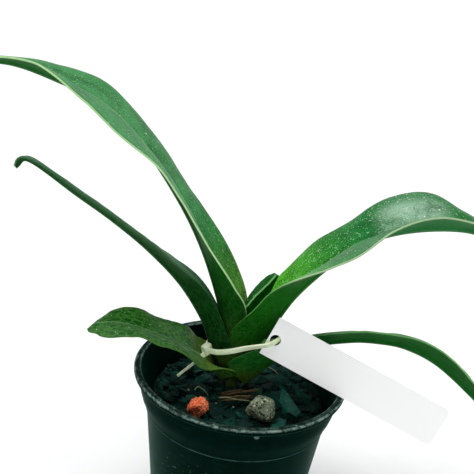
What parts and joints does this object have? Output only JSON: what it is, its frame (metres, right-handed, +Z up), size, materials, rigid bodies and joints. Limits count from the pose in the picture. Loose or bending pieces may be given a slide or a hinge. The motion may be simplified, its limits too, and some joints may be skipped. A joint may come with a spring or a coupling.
{
  "type": "potted_slipper_orchid",
  "caption": "Young slipper orchid out of bloom, strap leaves in a fan, in a round green nursery pot of dark bark and stones, with a white plant tag held by a cream tie",
  "frame": {"origin": "middle of the flat underside of the pot's floor, where it rests", "axes": "+Z up along the pot's axis, +X along the fan of leaves towards the tag, -Y the side that faces the viewer of the picture"},
  "size_m": [0.2859, 0.108, 0.2406],
  "materials": {
    "pot_plastic": "satin moulded plastic",
    "dark_bark": "damp rough bark",
    "red_lava": "rough porous stone",
    "grey_gravel": "dull speckled stone",
    "green_slate": "dull split stone",
    "brown_bark": "dry torn bark",
    "stem": "waxy plant skin",
    "leaf_green": "waxy leaf",
    "leaf_olive": "waxy leaf",
    "cream_nylon": "satin nylon",
    "white_plastic": "smooth satin plastic"
  },
  "bodies": {
    "root": {"pot": "pot_plastic", "potting_mix": "dark_bark", "lava_rock": "red_lava", "grey_stone": "grey_gravel", "slate_chip": "green_slate", "bark_sliver_front": "brown_bark", "bark_sliver_back": "brown_bark", "stem_and_roots": "stem", "leaf_centre_new": "leaf_green", "leaf_left_long": "leaf_green", "leaf_right_long": "leaf_green", "leaf_left_slender": "leaf_green", "leaf_left_short": "leaf_olive", "leaf_right_low": "leaf_green", "cable_tie": "cream_nylon", "label_tag": "white_plastic"}
  },
  "joints": []
}
